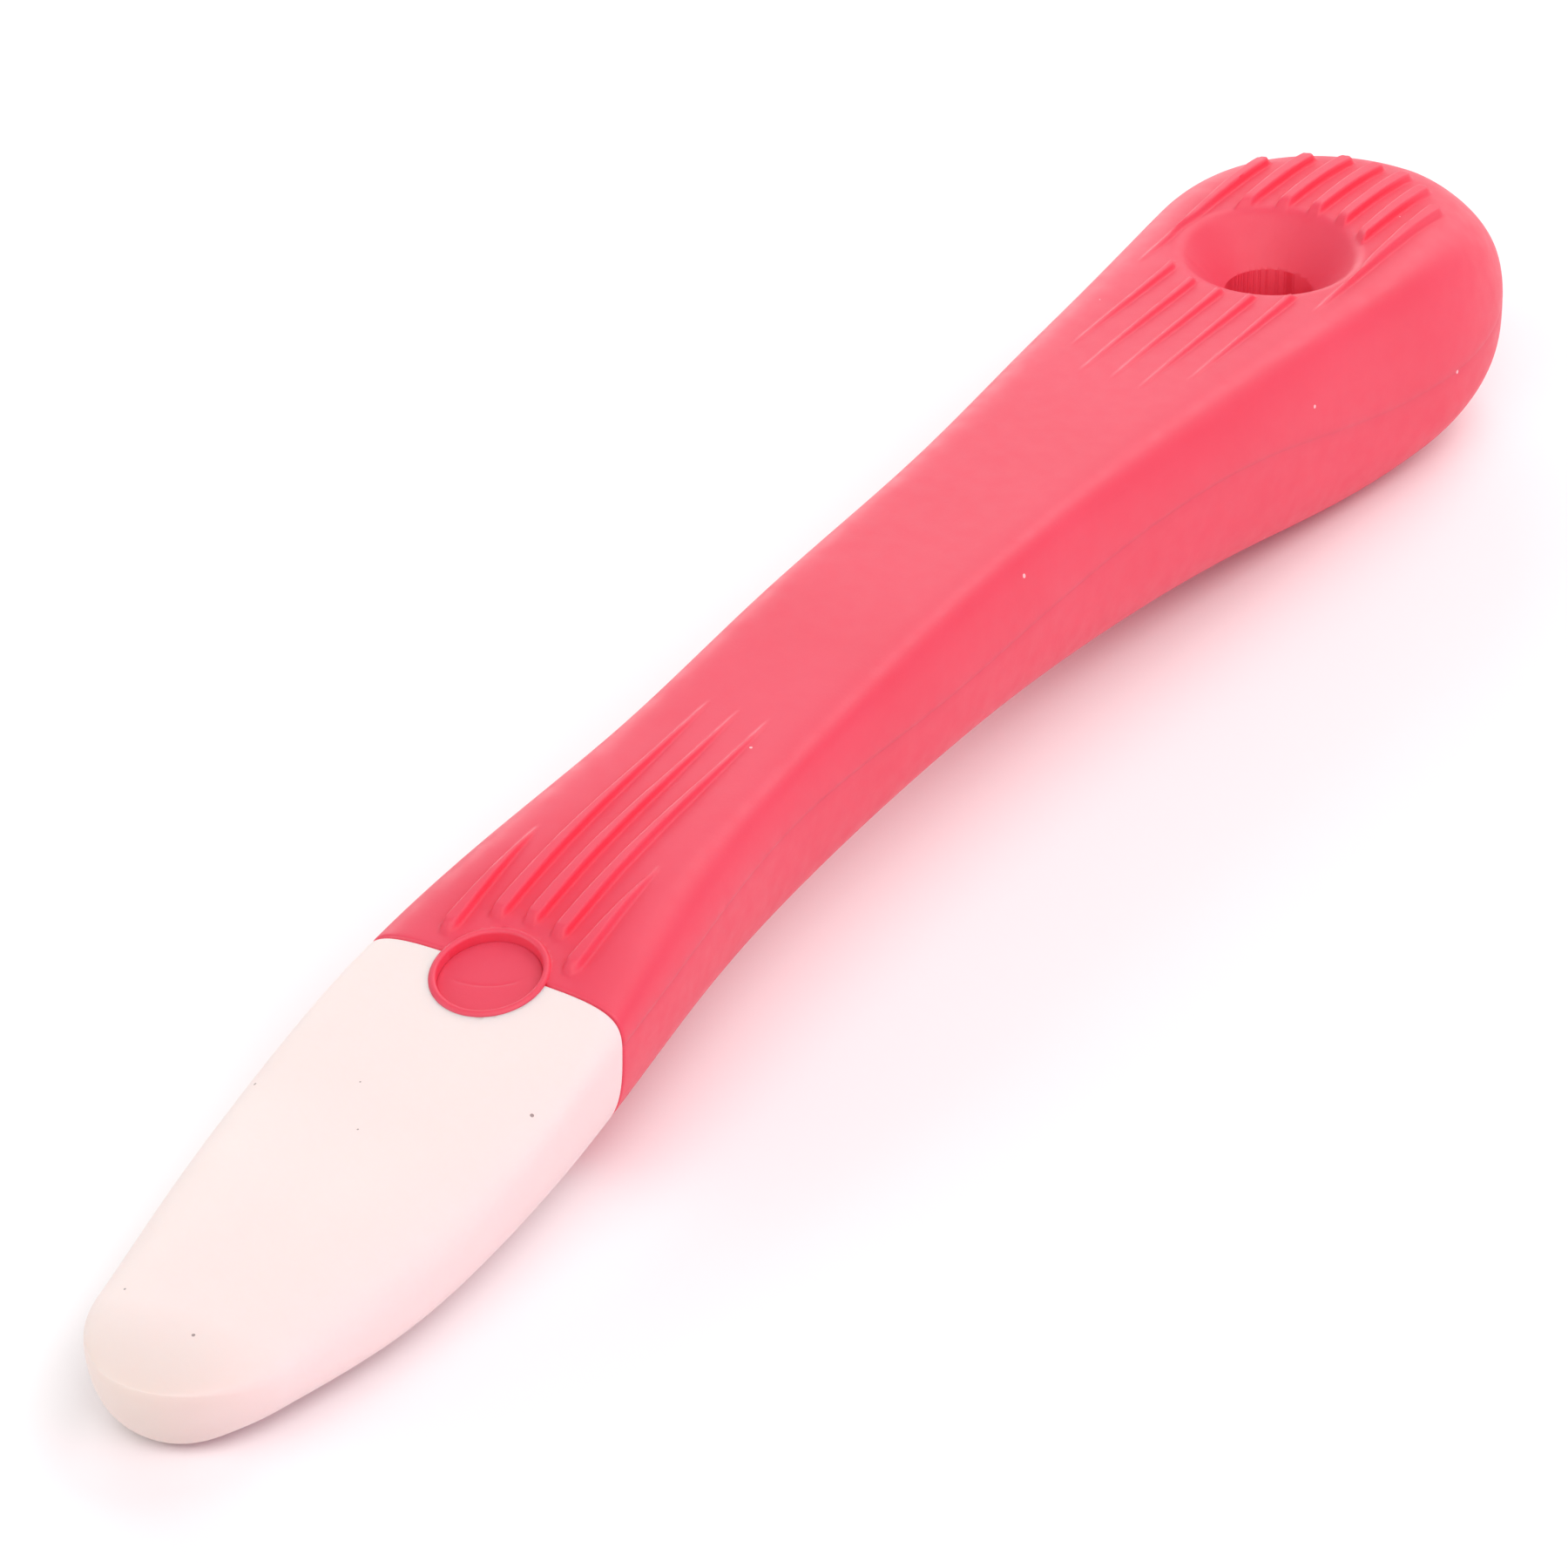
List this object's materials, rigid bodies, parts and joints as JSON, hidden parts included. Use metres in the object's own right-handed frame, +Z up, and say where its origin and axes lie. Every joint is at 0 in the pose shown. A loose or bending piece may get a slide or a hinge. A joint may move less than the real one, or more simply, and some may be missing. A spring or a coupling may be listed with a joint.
{
  "type": "clay shaper tool",
  "caption": "Hand tool for shaping clay: soft rounded paddle tip on a rigid tang, waisted two-shell plastic handle with grip ribs and a flared hang hole.",
  "frame": {"origin": "middle of the tool's length on its centre plane, at the height of the surface it lies on", "axes": "+X from the soft tip towards the butt, +Z up through the ribbed top face"},
  "size_m": [0.165, 0.0252, 0.0178],
  "materials": {
    "silicone": "soft matte silicone, off-white",
    "tang_plastic": "plain moulded, natural white",
    "handle_plastic": "fine satin moulded, coral"
  },
  "bodies": {
    "root": {"soft_tip": "silicone", "tang": "tang_plastic", "handle_upper_shell": "handle_plastic", "handle_lower_shell": "handle_plastic", "lock_rivet": "handle_plastic"}
  },
  "joints": []
}
